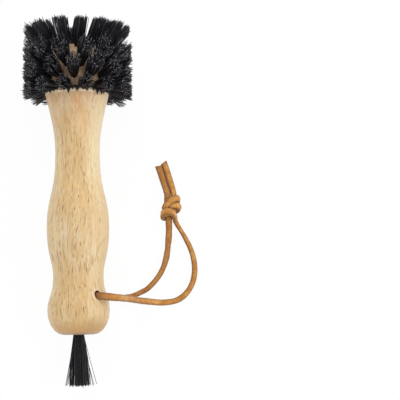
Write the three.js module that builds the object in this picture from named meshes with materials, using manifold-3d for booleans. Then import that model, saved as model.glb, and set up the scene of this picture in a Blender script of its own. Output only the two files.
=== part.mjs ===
// A socket brush: a turned beech handle whose head is drilled for four fanned rows of bristle tufts, a tuft in
// its butt end, and a suede hanging loop through a cross hole. Millimetres, +Z up. It lies on a table with its
// head towards +Y, resting on the butt bulge and on the lowest tufts.
import * as THREE from "three";
import { mergeVertices } from "three/addons/utils/BufferGeometryUtils.js";
import Module from "manifold-3d";

const wasm = await Module();
wasm.setup();

// Turned handle: radii, and heights along the handle from its butt face
const BUTT_FLAT_RADIUS = 6.8;
const BULGE_RADIUS = 14.6;
const BULGE_HEIGHT = 11.4;
const WAIST_RADIUS = 11.75;
const WAIST_HEIGHT = 26.7;
const GRIP_RADIUS = 14.7;
const GRIP_HEIGHT = 50.5;
const NECK_RADIUS = 10.45;
const NECK_HEIGHT = 85.5;
const HEAD_CORE_RADIUS = 15.1;
const FLARE_TOP_HEIGHT = 113.5;
const HEAD_CORE_LENGTH = 22.5;
const HEAD_END_ROUNDING = 5;
const HEAD_END_WALL = 4;
const HANDLE_SIDES = 42;

// Drilled bristle head: three rows on its side, one square to its rounded end and a tuft in the middle of the end
const TUFTS_PER_ROW = 14;
const ROW_SETBACKS = [2.3, 7.3, 12.9];
const ROW_LEANS = [-4, 16, 32, 51];
const ROW_TURNS = [-2, -4, -4, 4];
const TUFT_HOLE_RADIUS = 1.9;
const CORE_BORE_RADIUS = 10;

// Bristles
const BRISTLE_RADIUS = 26;
const END_TIP_INSET = 3.75;
const STRANDS_PER_TUFT = 6;
const STRAND_SPLAY = 0.17;
const STRAND_TIP_RADIUS = 1.15;
const STEM_EMBED = 1;

// Butt tuft
const BUTT_SOCKET_RADIUS = 2.7;
const BUTT_SOCKET_DEPTH = 13;
const BUTT_SOCKET_CHAMFER = 0.6;
const BUTT_TUFT_LENGTH = 24.5;
const BUTT_TUFT_TIP_RING = 5;
const BUTT_TUFT_RINGS = [1, 6, 12, 18];
const BUTT_STRAND_ROOT_RADIUS = 0.3;
const BUTT_STRAND_TIP_RADIUS = 0.5;

// Cross hole and suede lace
const CROSS_HOLE_RADIUS = 2.1;
const CROSS_HOLE_HEIGHT = 18;
const CROSS_HOLE_TURN = 44;
const LACE_RADIUS = 1.4;
const KNOT_RADIUS = 4.4;
const KNOT_LENGTH = 11.2;
const KNOT_PLACE = [44.7, 0.8];
const KNOT_TURN = 5.4;

// Fits, and how far the lowest bristles are pressed flat by the table
const CLEARANCE = 0.3;
const TABLE_PRESS = 0.5;

const headTop = FLARE_TOP_HEIGHT + HEAD_CORE_LENGTH;
const endLean = THREE.MathUtils.degToRad(ROW_LEANS[ROW_SETBACKS.length]);
const endMouth = endRound(endLean);
const bristleTop = endMouth.y + (BRISTLE_RADIUS - END_TIP_INSET - endMouth.x) * Math.tan(endLean);
const firstRow = FLARE_TOP_HEIGHT + ROW_SETBACKS[0];
const sliceRadius = CORE_BORE_RADIUS - CLEARANCE;
const stemRadius = TUFT_HOLE_RADIUS - CLEARANCE;
const up = new THREE.Vector3(0, 1, 0);

const beech = new THREE.MeshStandardMaterial({ color: 0xd9b184, roughness: 0.55, metalness: 0 });
const bristle = new THREE.MeshStandardMaterial({ color: 0x15161a, roughness: 0.4, metalness: 0 });
const suede = new THREE.MeshStandardMaterial({ color: 0xb9783f, roughness: 0.95, metalness: 0 });

// Solids for joining and cutting

function solidOf(geometry) {
  const bare = geometry.clone();
  bare.deleteAttribute("normal");
  bare.deleteAttribute("uv");
  const merged = mergeVertices(bare, 1e-4);
  const vertProperties = merged.attributes.position.array;
  const triVerts = new Uint32Array(merged.index.array);
  return new wasm.Manifold(new wasm.Mesh({ numProp: 3, vertProperties, triVerts }));
}

function geometryOf(solid) {
  const mesh = solid.getMesh();
  const geometry = new THREE.BufferGeometry();
  geometry.setAttribute("position", new THREE.BufferAttribute(mesh.vertProperties, 3));
  geometry.setIndex(new THREE.BufferAttribute(mesh.triVerts, 1));
  geometry.computeVertexNormals();
  return geometry;
}

function joined(solids) {
  return solids.reduce((whole, next) => whole.add(next));
}

function named(name, solid, material) {
  const mesh = new THREE.Mesh(geometryOf(solid), material);
  mesh.name = name;
  return mesh;
}

// A straight rod that may taper, from one point along a direction
function rod(from, direction, length, startRadius, endRadius, sides) {
  const geometry = new THREE.CylinderGeometry(endRadius, startRadius, length, sides);
  geometry.translate(0, length / 2, 0);
  geometry.applyQuaternion(new THREE.Quaternion().setFromUnitVectors(up, direction));
  geometry.translate(from.x, from.y, from.z);
  return solidOf(geometry);
}

function ring(radius, angle) {
  return new THREE.Vector3(radius * Math.sin(angle), 0, radius * Math.cos(angle));
}

// Handle: its outline is a row of bulges and waists joined by smooth curves, turned about the local Y axis

function sway(fromRadius, fromHeight, toRadius, toHeight, fromEase, toEase) {
  const length = toHeight - fromHeight;
  return new THREE.CubicBezierCurve(
    new THREE.Vector2(fromRadius, fromHeight),
    new THREE.Vector2(fromRadius, fromHeight + fromEase * length),
    new THREE.Vector2(toRadius, toHeight - toEase * length),
    new THREE.Vector2(toRadius, toHeight),
  );
}

function buttCorner(turn) {
  const radius = BUTT_FLAT_RADIUS + (BULGE_RADIUS - BUTT_FLAT_RADIUS) * Math.sin(turn);
  return new THREE.Vector2(radius, BULGE_HEIGHT * (1 - Math.cos(turn)));
}

function flare(share) {
  const radius = NECK_RADIUS + (HEAD_CORE_RADIUS - NECK_RADIUS) * (1 - Math.cos((share * Math.PI) / 2));
  return new THREE.Vector2(radius, NECK_HEIGHT + share * (FLARE_TOP_HEIGHT - NECK_HEIGHT));
}

function handleOutline() {
  const outline = [];
  const steps = (count, point) => {
    for (let i = 1; i <= count; i += 1) outline.push(point(i / count));
  };
  outline.push(new THREE.Vector2(BUTT_FLAT_RADIUS, 0));
  steps(5, (share) => buttCorner((share * Math.PI) / 2));
  const toWaist = sway(BULGE_RADIUS, BULGE_HEIGHT, WAIST_RADIUS, WAIST_HEIGHT, 0.4, 0.5);
  const toGrip = sway(WAIST_RADIUS, WAIST_HEIGHT, GRIP_RADIUS, GRIP_HEIGHT, 0.35, 0.6);
  const toNeck = sway(GRIP_RADIUS, GRIP_HEIGHT, NECK_RADIUS, NECK_HEIGHT, 0.42, 0.56);
  steps(5, (share) => toWaist.getPoint(share));
  steps(6, (share) => toGrip.getPoint(share));
  steps(7, (share) => toNeck.getPoint(share));
  steps(6, flare);
  return outline;
}

const outline = handleOutline();

// The handle's radius at a height along it
function outlineRadius(height) {
  const above = outline.findIndex((p) => p.y >= height);
  const share = (height - outline[above - 1].y) / (outline[above].y - outline[above - 1].y);
  return THREE.MathUtils.lerp(outline[above - 1].x, outline[above].x, share);
}

// A point on the rounded end of the head's outline
function endRound(turn) {
  const radius = HEAD_CORE_RADIUS - HEAD_END_ROUNDING * (1 - Math.cos(turn));
  return new THREE.Vector2(radius, headTop - HEAD_END_ROUNDING * (1 - Math.sin(turn)));
}

// Tufts: where each one leaves the head, which way it points, and how far its stem stands out before it splays

function rowOfTufts(row) {
  const lean = THREE.MathUtils.degToRad(ROW_LEANS[row]);
  const onSide = row < ROW_SETBACKS.length;
  const place = onSide ? new THREE.Vector2(HEAD_CORE_RADIUS, FLARE_TOP_HEIGHT + ROW_SETBACKS[row]) : endRound(lean);
  const collar = onSide ? stemRadius * Math.tan(Math.abs(lean)) : 0;
  const pitch = (2 * Math.PI) / TUFTS_PER_ROW;
  const start = THREE.MathUtils.degToRad(ROW_TURNS[row]) + (row % 2 === 0 ? pitch / 2 : 0);
  return Array.from({ length: TUFTS_PER_ROW }, (_, i) => {
    const angle = start + i * pitch;
    const mouth = ring(place.x, angle).setY(place.y);
    const direction = ring(Math.cos(lean), angle).setY(Math.sin(lean));
    return { mouth, direction, collar };
  });
}

// How far a strand runs before it meets the trimmed cylinder or the trimmed top
function trimmedLength(from, direction) {
  const across = direction.x ** 2 + direction.z ** 2;
  const outward = from.x * direction.x + from.z * direction.z;
  const inside = BRISTLE_RADIUS ** 2 - from.x ** 2 - from.z ** 2;
  const toSide = across > 1e-9 ? (Math.sqrt(outward ** 2 + across * inside) - outward) / across : Infinity;
  const toTop = direction.y > 1e-9 ? (bristleTop - from.y) / direction.y : Infinity;
  return Math.min(toSide, toTop);
}

// One tuft: a bundled stem whose end splits into wedge strands that splay apart up to the trim
function tuftSolid({ mouth, direction, collar }, stemLength) {
  const count = STRANDS_PER_TUFT;
  const turn = new THREE.Quaternion().setFromUnitVectors(up, direction);
  const outwardAt = (i) => ring(1, (i * 2 * Math.PI) / count).applyQuaternion(turn);
  const around = (centre) =>
    Array.from({ length: count }, (_, i) => centre.clone().addScaledVector(outwardAt(i), stemRadius));
  const foot = mouth.clone().addScaledVector(direction, -stemLength);
  const root = mouth.clone().addScaledVector(direction, collar);
  const points = [...around(foot), ...around(root), root];
  const middle = 2 * count;
  const faces = [];
  const quad = (a, b, c, d) => faces.push(a, b, c, a, c, d);
  for (let i = 0; i < count; i += 1) {
    const next = (i + 1) % count;
    if (i > 0 && next > 0) faces.push(0, next, i);
    quad(i, next, count + next, count + i);
    const outward = outwardAt(i + 0.5);
    const sideways = direction.clone().cross(outward);
    const heading = direction.clone().addScaledVector(outward, STRAND_SPLAY).normalize();
    const start = root.clone().addScaledVector(outward, stemRadius / 2);
    const tip = start.clone().addScaledVector(heading, trimmedLength(start, heading));
    const corner = (angle) =>
      tip
        .clone()
        .addScaledVector(outward, STRAND_TIP_RADIUS * Math.cos(angle))
        .addScaledVector(sideways, STRAND_TIP_RADIUS * Math.sin(angle));
    const first = points.length;
    points.push(corner(Math.PI), corner(-Math.PI / 3), corner(Math.PI / 3));
    quad(middle, count + i, first + 1, first);
    quad(count + i, count + next, first + 2, first + 1);
    quad(count + next, middle, first, first + 2);
    faces.push(first, first + 1, first + 2);
  }
  const geometry = new THREE.BufferGeometry().setFromPoints(points);
  geometry.setIndex(faces);
  return solidOf(geometry);
}

// How far it is along a tuft from its drilled mouth in to a radius
function depthTo(radius, { mouth, direction }) {
  return (Math.hypot(mouth.x, mouth.z) - radius) / Math.hypot(direction.x, direction.z);
}

// How far a tuft runs inside the wood, from its mouth to the slice that holds its fold
function stemLengthOf(each) {
  return depthTo(sliceRadius - STEM_EMBED, each);
}

function drilledHole(each) {
  const inward = depthTo(CORE_BORE_RADIUS / 2, each);
  const start = each.mouth.clone().addScaledVector(each.direction, -inward);
  return rod(start, each.direction, 2 * inward, TUFT_HOLE_RADIUS, TUFT_HOLE_RADIUS, 6);
}

const rows = ROW_LEANS.map((lean, row) => rowOfTufts(row));
const middleTuft = { mouth: new THREE.Vector3(0, headTop, 0), direction: up, collar: 0 };

const crossDirection = ring(1, THREE.MathUtils.degToRad(CROSS_HOLE_TURN));

function crossHole() {
  const start = crossDirection.clone().multiplyScalar(-2 * BULGE_RADIUS).setY(CROSS_HOLE_HEIGHT);
  return rod(start, crossDirection, 4 * BULGE_RADIUS, CROSS_HOLE_RADIUS, CROSS_HOLE_RADIUS, 16);
}

const boreFloor = firstRow - TUFT_HOLE_RADIUS - CLEARANCE;
const boreTop = headTop - HEAD_END_WALL;

function drum(radius, bottom, top, sides) {
  return rod(new THREE.Vector3(0, bottom, 0), up, top - bottom, radius, radius, sides);
}

function handle() {
  const turned = [
    new THREE.Vector2(0, BUTT_SOCKET_DEPTH),
    new THREE.Vector2(BUTT_SOCKET_RADIUS, BUTT_SOCKET_DEPTH),
    new THREE.Vector2(BUTT_SOCKET_RADIUS, BUTT_SOCKET_CHAMFER),
    new THREE.Vector2(BUTT_SOCKET_RADIUS + BUTT_SOCKET_CHAMFER, 0),
    ...outline,
    ...[0, 0.2, 0.4, 0.6, 0.8, 1].map((share) => endRound((share * Math.PI) / 2)),
    new THREE.Vector2(0, headTop),
  ];
  const blank = solidOf(new THREE.LatheGeometry(turned, HANDLE_SIDES));
  const bore = drum(CORE_BORE_RADIUS, boreFloor, boreTop, 2 * TUFTS_PER_ROW);
  const holes = joined(rows.flat().map(drilledHole));
  const middleHole = drum(TUFT_HOLE_RADIUS, boreTop - CLEARANCE, headTop + CLEARANCE, 6);
  return blank.subtract(bore).subtract(holes).subtract(middleHole).subtract(crossHole());
}

// Tuft nodes: strands and stems on the slice of the head that holds their folds

function tuftsOnSlice(tufts, bottom, top) {
  const slice = drum(sliceRadius, bottom, top, 2 * TUFTS_PER_ROW);
  return joined([slice, ...tufts.map((each) => tuftSolid(each, stemLengthOf(each)))]);
}

// Where the slices of two neighbouring rows part: midway between the feet of their stems
function partingOf(row) {
  const foot = ([each]) => each.mouth.y - stemLengthOf(each) * each.direction.y;
  return (foot(rows[row]) + foot(rows[row + 1])) / 2;
}

const lowerParting = partingOf(1);
const upperParting = partingOf(2);
const lowerTufts = () => tuftsOnSlice(rows.slice(0, 2).flat(), boreFloor + CLEARANCE, lowerParting - CLEARANCE / 2);
const upperTufts = () => tuftsOnSlice(rows[2], lowerParting + CLEARANCE / 2, upperParting - CLEARANCE / 2);
const endRow = () => tuftsOnSlice(rows[3], upperParting + CLEARANCE / 2, boreTop - CLEARANCE);
const endTufts = () => endRow().add(tuftSolid(middleTuft, HEAD_END_WALL + CLEARANCE + STEM_EMBED));

function buttTuft() {
  const down = up.clone().negate();
  const plugRadius = BUTT_SOCKET_RADIUS - CLEARANCE;
  const plugTop = new THREE.Vector3(0, BUTT_SOCKET_DEPTH - CLEARANCE, 0);
  const plug = rod(plugTop, down, plugTop.y, plugRadius, plugRadius, 12);
  const outer = BUTT_TUFT_RINGS.length - 1;
  const strands = BUTT_TUFT_RINGS.flatMap((count, place) => {
    const rootRing = ((plugRadius - BUTT_STRAND_ROOT_RADIUS) * place) / outer;
    const tipRing = (BUTT_TUFT_TIP_RING * place) / outer;
    return Array.from({ length: count }, (_, i) => {
      const angle = ((i + place / 2) * 2 * Math.PI) / count;
      const root = ring(rootRing, angle).setY(STEM_EMBED);
      const run = ring(tipRing, angle).setY(-BUTT_TUFT_LENGTH).sub(root);
      const heading = run.clone().normalize();
      return rod(root, heading, run.length(), BUTT_STRAND_ROOT_RADIUS, BUTT_STRAND_TIP_RADIUS, 3);
    });
  });
  return joined([plug, ...strands]);
}

// Lying on the table: the brush tips until the butt bulge and the lowest bristles both rest

const tipReach = BRISTLE_RADIUS - HEAD_CORE_RADIUS;
const firstRowSlope = Math.tan(THREE.MathUtils.degToRad(ROW_LEANS[0]));
const lowestTips = firstRow - stemRadius + (firstRowSlope - STRAND_SPLAY) * tipReach;
const lie = Math.atan2(BRISTLE_RADIUS - TABLE_PRESS - BULGE_RADIUS, lowestTips - BULGE_HEIGHT);
const seat = Math.max(...outline.map((p) => p.x * Math.cos(lie) - p.y * Math.sin(lie)));

// What the table presses away from a piece of the lying brush
function onTable(solid) {
  const depth = 4 * TABLE_PRESS;
  const table = new THREE.BoxGeometry(4 * BRISTLE_RADIUS, 2 * bristleTop, depth);
  table.translate(0, bristleTop / 2, -depth / 2 - seat);
  table.applyMatrix4(new THREE.Matrix4().makeRotationX(-lie));
  return solid.subtract(solidOf(table));
}

const brush = new THREE.Group();
brush.rotation.x = lie;
brush.add(named("handle", handle(), beech));
brush.add(named("lower_tufts", onTable(lowerTufts()), bristle));
brush.add(named("upper_tufts", onTable(upperTufts()), bristle));
brush.add(named("end_face_tufts", endTufts(), bristle));
brush.add(named("butt_tuft", buttTuft(), bristle));

// The origin is on the table, under the middle of the brush
const box = new THREE.Box3().setFromObject(brush, true);
brush.position.set(0, -(box.min.y + box.max.y) / 2, seat);

// Suede lace: it lies where it fell, so its runs are points on and above the table

const UNDER_HANDLE = [
  [-9.9, -42.4, 4.8],
  [-9.9, -41.8, 3.5],
  [-9.2, -41.0, 2.3],
  [-7.7, -39.9, 1.6],
  [-5.0, -38.7, 1.5],
  [-2.0, -38.0, 1.5],
  [1.5, -38.1, 1.5],
  [5.0, -39.2, 1.5],
  [8.2, -40.9, 1.5],
];
const FRONT_RUN = [
  [13.8, -45.9, 27.1],
  [16.8, -46.2, 26.3],
  [19.0, -46.1, 24.1],
  [20.7, -45.9, 21.1],
  [22.4, -45.6, 17.8],
  [24.4, -45.4, 14.2],
  [27.0, -45.4, 10.4],
  [30.2, -45.5, 7.2],
  [34.2, -45.6, 4.5],
  [38.4, -45.8, 2.6],
  [42.0, -45.6, 1.7],
  [45.9, -45.0, 1.5],
  [49.4, -43.3, 1.5],
  [52.4, -40.3, 1.5],
  [54.6, -36.5, 1.5],
  [55.7, -32.3, 1.5],
  [55.9, -27.8, 1.5],
  [55.2, -23.0, 1.5],
  [53.7, -18.4, 1.5],
  [51.5, -13.8, 1.6],
  [49.1, -9.8, 2.3],
  [47.4, -7.0, 3.1],
  [46.8, -5.1, 3.5],
];
const BACK_RUN = [
  [8.5, -41.1, 1.5],
  [11.5, -42.0, 1.5],
  [14.7, -42.8, 1.5],
  [18.5, -43.1, 1.5],
  [22.5, -42.8, 1.5],
  [26.2, -42.0, 1.5],
  [29.6, -40.6, 1.5],
  [33.0, -38.7, 1.5],
  [37.2, -34.4, 1.5],
  [40.1, -29.9, 1.5],
  [41.8, -25.4, 1.5],
  [42.8, -20.6, 1.5],
  [43.5, -15.2, 1.6],
  [43.8, -10.8, 2.2],
  [43.8, -7.6, 3.1],
  [43.7, -5.3, 3.5],
];
const LEFT_TAIL = [
  [43.25, 6.8, 4.0],
  [42.8, 9.2, 3.4],
  [42.05, 12.2, 2.3],
  [41.1, 15.9, 1.6],
  [40.15, 19.1, 1.5],
  [39.35, 21.7, 1.5],
];
const RIGHT_TAIL = [
  [46.3, 7.1, 4.0],
  [45.85, 9.6, 3.4],
  [45.0, 13.1, 2.3],
  [44.05, 17.1, 1.6],
  [43.0, 20.6, 1.5],
  [41.9, 24.0, 1.5],
];

const placed = (points) => points.map((p) => new THREE.Vector3(...p));

function laceRun(points, steps) {
  const section = new THREE.Shape();
  const sides = 8;
  for (let i = 0; i < sides; i += 1) {
    const angle = (i * 2 * Math.PI) / sides;
    const corner = [LACE_RADIUS * Math.cos(angle), LACE_RADIUS * Math.sin(angle)];
    if (i === 0) section.moveTo(...corner);
    else section.lineTo(...corner);
  }
  section.closePath();
  const extrudePath = new THREE.CatmullRomCurve3(points);
  return solidOf(new THREE.ExtrudeGeometry(section, { steps, extrudePath, bevelEnabled: false }));
}

// The tied knot: two wraps of the doubled lace, side by side
function knot() {
  const half = KNOT_LENGTH / 2;
  const throat = KNOT_RADIUS - LACE_RADIUS;
  const wraps = new THREE.SplineCurve([
    new THREE.Vector2(throat, -half),
    new THREE.Vector2(KNOT_RADIUS, -half / 2),
    new THREE.Vector2(KNOT_RADIUS - LACE_RADIUS / 2, 0),
    new THREE.Vector2(KNOT_RADIUS, half / 2),
    new THREE.Vector2(throat, half),
  ]);
  const profile = [new THREE.Vector2(0, -half), ...wraps.getPoints(12), new THREE.Vector2(0, half)];
  return solidOf(new THREE.LatheGeometry(profile, 16));
}

function onCrossHole(reach) {
  return crossDirection.clone().multiplyScalar(reach).setY(CROSS_HOLE_HEIGHT).applyMatrix4(brush.matrixWorld);
}

brush.updateMatrixWorld();
const mouthReach = outlineRadius(CROSS_HOLE_HEIGHT);
const leadOut = mouthReach + LACE_RADIUS;
const throughHandle = [mouthReach, 0, -mouthReach].map(onCrossHole);
const outOfMouth = [mouthReach + CLEARANCE, leadOut].map(onCrossHole);

const lace = new THREE.Group();
lace.add(named("lace_through_handle", laceRun([...throughHandle, ...placed(UNDER_HANDLE)], 24), suede));
lace.add(named("lace_front_run", laceRun([...outOfMouth, ...placed(FRONT_RUN)], 34), suede));
lace.add(named("lace_back_run", laceRun(placed(BACK_RUN), 18), suede));
lace.add(named("lace_left_tail", laceRun(placed(LEFT_TAIL), 6), suede));
lace.add(named("lace_right_tail", laceRun(placed(RIGHT_TAIL), 6), suede));
const tied = named("lace_knot", knot(), suede);
tied.position.set(...KNOT_PLACE, KNOT_RADIUS);
tied.rotation.z = THREE.MathUtils.degToRad(KNOT_TURN);
lace.add(tied);

const part = new THREE.Group();
part.add(brush, lace);

export default part;
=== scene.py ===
import math
import random
from collections import namedtuple

import bpy
from mathutils import Matrix, Vector


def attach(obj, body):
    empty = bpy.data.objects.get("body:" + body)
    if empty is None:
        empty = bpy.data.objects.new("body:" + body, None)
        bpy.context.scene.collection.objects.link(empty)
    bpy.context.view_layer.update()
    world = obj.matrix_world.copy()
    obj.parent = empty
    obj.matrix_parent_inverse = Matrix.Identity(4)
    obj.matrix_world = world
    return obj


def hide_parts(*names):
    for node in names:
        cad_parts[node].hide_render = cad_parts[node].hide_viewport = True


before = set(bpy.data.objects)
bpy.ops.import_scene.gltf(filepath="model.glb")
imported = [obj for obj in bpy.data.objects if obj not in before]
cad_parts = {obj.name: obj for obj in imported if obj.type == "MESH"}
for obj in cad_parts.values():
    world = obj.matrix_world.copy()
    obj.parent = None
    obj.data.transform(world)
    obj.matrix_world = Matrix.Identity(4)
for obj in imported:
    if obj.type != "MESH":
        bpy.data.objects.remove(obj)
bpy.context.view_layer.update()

MM = 0.001
GOLDEN_ANGLE = 2.39996

# How the brush lies: tipped up at its head, with its butt face this far back
LIE = math.radians(6.2093)
BUTT_PLACE = Vector((0, -61.687, 13.283)) * MM
BRUSH = Matrix.Translation(BUTT_PLACE) @ Matrix.Rotation(LIE, 4, "X")

# Drilled head, in millimetres along the handle from the butt face
SHOULDER = 113.5
CORE_RADIUS = 15.1
HEAD_END = 136.0
END_ROUNDING = 5.0
TUFTS_PER_ROW = 14

# Head tufts, in millimetres: the drum and top they are trimmed to, and their strands
TRIM_RADIUS = 25.6
TRIM_OFFSET = 0.4
TRIM_TOP = 146.0
STRANDS_PER_TUFT = 130
CLUMPS_PER_TUFT = 13
STEM_RADIUS = 1.75
STEM_DEPTH = 2.5
STRAND_SIDES = 3
STRAND_RADII = (0.16, 0.15)

# Butt tuft, in millimetres
BUTT_STRANDS = 230
BUTT_STRAYS = 9
BUTT_CLUMPS = 14
BUTT_STEM_RADIUS = 2.5
BUTT_STEM_DEPTH = 3.0
BUTT_FLARE = 5.2
BUTT_TUFT_LENGTH = 23.3
BUTT_STRAND_RADII = (0.15, 0.13)

# Camera, in metres
CAMERA_PLACE = Vector((0.0119, -0.1202, 0.5706))
CAMERA_AIM = Vector((0.0579, 0.0007, 0.0200))
CAMERA_ROLL = math.radians(1.53)
CAMERA_NEAR = 0.01

# Lens and sensor of the camera, in millimetres
CAMERA_LENS = 106.82
CAMERA_SENSOR = 36.0

# Cross hole for the lace, in millimetres: its place along the handle, and how far out its mouths lie
CROSS_HOLE_HEIGHT = 18.0
CROSS_HOLE_TURN = math.radians(44)
CROSS_HOLE_LINE = Vector((math.sin(CROSS_HOLE_TURN), 0, math.cos(CROSS_HOLE_TURN)))
MOUTH_REACH = 13.3

# Suede lace, in metres
LACE_WIDTH = 3.0 * MM
LACE_THICKNESS = 2.7 * MM
HELD_WIDTH = 0.95 * LACE_WIDTH
KNOT_THICKNESS = 2.2 * MM
LACE_SIDES = 16


# Pieces


def piece_of(name, shape, material, layer):
    """A piece from points, faces and two notes for each point, which its finish reads."""
    vertices, faces, notes = shape
    mesh = bpy.data.meshes.new(name)
    mesh.from_pydata(vertices, [], faces)
    mesh.materials.append(material)
    mesh.shade_smooth()
    noted = mesh.uv_layers.new(name=layer)
    for loop in mesh.loops:
        noted.data[loop.index].uv = notes[loop.vertex_index]
    piece = bpy.data.objects.new(name, mesh)
    bpy.context.scene.collection.objects.link(piece)
    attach(piece, "root")
    return piece


def tube_faces(rings, sides, first=0):
    """The walls between rings of points that follow each other, and a cap at both ends."""
    faces = []
    last = first + (rings - 1) * sides
    for ring in range(first, last, sides):
        for k in range(sides):
            after = (k + 1) % sides
            faces.append((ring + k, ring + after, ring + sides + after, ring + sides + k))
    faces.append(tuple(range(first + sides - 1, first - 1, -1)))
    faces.append(tuple(range(last, last + sides)))
    return faces


def on_brush(point):
    return BRUSH @ (Vector(point) * MM)


# Materials


def new_material(name):
    material = bpy.data.materials.new(name)
    material.use_nodes = True
    shader = material.node_tree.nodes["Principled BSDF"]
    return material, material.node_tree, shader


def feed(tree, socket, value):
    """A socket takes a fixed number, a fixed colour or what another node gives."""
    if isinstance(value, (int, float)):
        socket.default_value = value
    elif isinstance(value, tuple):
        socket.default_value = (*value, 1)
    else:
        tree.links.new(value, socket)


def mottle_group():
    """Soft noise between two colours, used for growth bands, worn nap and dust on bristle."""
    group = bpy.data.node_groups.new("mottle", "ShaderNodeTree")
    sockets = (
        ("Place", "INPUT", "NodeSocketVector"),
        ("Dark", "INPUT", "NodeSocketColor"),
        ("Pale", "INPUT", "NodeSocketColor"),
        ("Low", "INPUT", "NodeSocketFloat"),
        ("High", "INPUT", "NodeSocketFloat"),
        ("Color", "OUTPUT", "NodeSocketColor"),
        ("Value", "OUTPUT", "NodeSocketFloat"),
    )
    for name, side, kind in sockets:
        group.interface.new_socket(name, in_out=side, socket_type=kind)
    inside = group.nodes.new("NodeGroupInput")
    outside = group.nodes.new("NodeGroupOutput")
    noise = group.nodes.new("ShaderNodeTexNoise")
    noise.inputs["Scale"].default_value = 1.0
    noise.inputs["Detail"].default_value = 3.0
    spread = group.nodes.new("ShaderNodeMapRange")
    spread.interpolation_type = "SMOOTHSTEP"
    blend = group.nodes.new("ShaderNodeMix")
    blend.data_type = "RGBA"
    link = group.links.new
    link(inside.outputs["Place"], noise.inputs["Vector"])
    link(noise.outputs["Fac"], spread.inputs["Value"])
    link(inside.outputs["Low"], spread.inputs["From Min"])
    link(inside.outputs["High"], spread.inputs["From Max"])
    link(spread.outputs["Result"], blend.inputs["Factor"])
    link(inside.outputs["Dark"], blend.inputs["A"])
    link(inside.outputs["Pale"], blend.inputs["B"])
    link(blend.outputs["Result"], outside.inputs["Color"])
    link(spread.outputs["Result"], outside.inputs["Value"])
    return group


MOTTLE = mottle_group()


def add_mottle(tree, place, dark, pale, low, high):
    """The mottled colour, and how pale it is from 0 to 1."""
    node = tree.nodes.new("ShaderNodeGroup")
    node.node_tree = MOTTLE
    settings = {"Place": place, "Dark": dark, "Pale": pale, "Low": low, "High": high}
    for name, value in settings.items():
        feed(tree, node.inputs[name], value)
    return node.outputs["Color"], node.outputs["Value"]


def vector_calc(tree, operation, first, second=(0, 0, 0)):
    node = tree.nodes.new("ShaderNodeVectorMath")
    node.operation = operation
    node.inputs[1].default_value = second
    tree.links.new(first, node.inputs[0])
    return node.outputs["Value" if operation == "LENGTH" else "Vector"]


def stretched(tree, place, across, lengthwise):
    """Places for marks that come so many to a unit, across the handle and along it."""
    return vector_calc(tree, "MULTIPLY", place, (across, lengthwise, across))


def calc(tree, operation, first, second=None):
    node = tree.nodes.new("ShaderNodeMath")
    node.operation = operation
    feed(tree, node.inputs[0], first)
    if second is not None:
        feed(tree, node.inputs[1], second)
    return node.outputs["Value"]


def product(tree, first, *others):
    for other in others:
        first = calc(tree, "MULTIPLY", first, other)
    return first


def ramp(tree, value, low, high, out_low=0.0, out_high=1.0):
    node = tree.nodes.new("ShaderNodeMapRange")
    node.interpolation_type = "SMOOTHSTEP"
    node.inputs["From Min"].default_value = low
    node.inputs["From Max"].default_value = high
    node.inputs["To Min"].default_value = out_low
    node.inputs["To Max"].default_value = out_high
    tree.links.new(value, node.inputs["Value"])
    return node.outputs["Result"]


def colour_mix(tree, factor, first, second):
    node = tree.nodes.new("ShaderNodeMix")
    node.data_type = "RGBA"
    feed(tree, node.inputs["Factor"], factor)
    feed(tree, node.inputs["A"], first)
    feed(tree, node.inputs["B"], second)
    return node.outputs["Result"]


def bump(tree, shader, height, distance, strength):
    node = tree.nodes.new("ShaderNodeBump")
    node.inputs["Distance"].default_value = distance
    node.inputs["Strength"].default_value = strength
    tree.links.new(height, node.inputs["Height"])
    tree.links.new(node.outputs["Normal"], shader.inputs["Normal"])


def plain_noise(tree, place, scale):
    node = tree.nodes.new("ShaderNodeTexNoise")
    node.inputs["Scale"].default_value = scale
    node.inputs["Detail"].default_value = 0.0
    tree.links.new(place, node.inputs["Vector"])
    return node.outputs["Fac"]


def separate(tree, vector):
    node = tree.nodes.new("ShaderNodeSeparateXYZ")
    tree.links.new(vector, node.inputs["Vector"])
    return node.outputs["X"], node.outputs["Y"], node.outputs["Z"]


def object_place(tree):
    return tree.nodes.new("ShaderNodeTexCoord").outputs["Object"]


def noted_on(tree, layer):
    """The two values that a piece notes for each of its points."""
    notes = tree.nodes.new("ShaderNodeUVMap")
    notes.uv_map = layer
    first, second, _ = separate(tree, notes.outputs["UV"])
    return first, second


# Beech: how its surface is unrolled for the flecks, and where the heart of the tree lay, in millimetres
UNROLL_RADIUS = 13.5
LEAST_RADIUS = 9.0
GRAIN_DRIFT = 9.0
FLECK_STAGGER = 14.0
HEART_OF_TREE = (-27, 0, -18)

# Beech: the reach of the longest flecks, as a share of their cells
FLECK_REACH = 0.42

# Beech: where it changes, in millimetres from the butt face, and from the line of the cross hole
BUTT_RIM = (0.25, 1.5)
BUTT_WARMTH_AND_SHADE = (0.8, 7.5)
BUTT_SHADE = (3.0, 10.5)
FLECKS_START = (4.0, 12.0)
PAINTED_RIGHT_LIGHT_RISE = (55, 88)
FLARE_RISE = (90, 108)
EDGE_BELOW = (SHOULDER - 1.4, SHOULDER - 0.2)
EDGE_ABOVE = (SHOULDER, SHOULDER + 0.7)
CORE_SHADE = (SHOULDER + 0.3, SHOULDER + 1.7)
CORE_LIGHT = (SHOULDER + 7.5, SHOULDER + 16.5)
FLECKS_END = (HEAD_END - 4.0, HEAD_END - 1.5)
END_GRAIN = (HEAD_END - 1.4, HEAD_END - 0.3)
HOLE_WALL = (2.1, 2.35)
HOLE_RIM = (2.5, 4.4)

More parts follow.
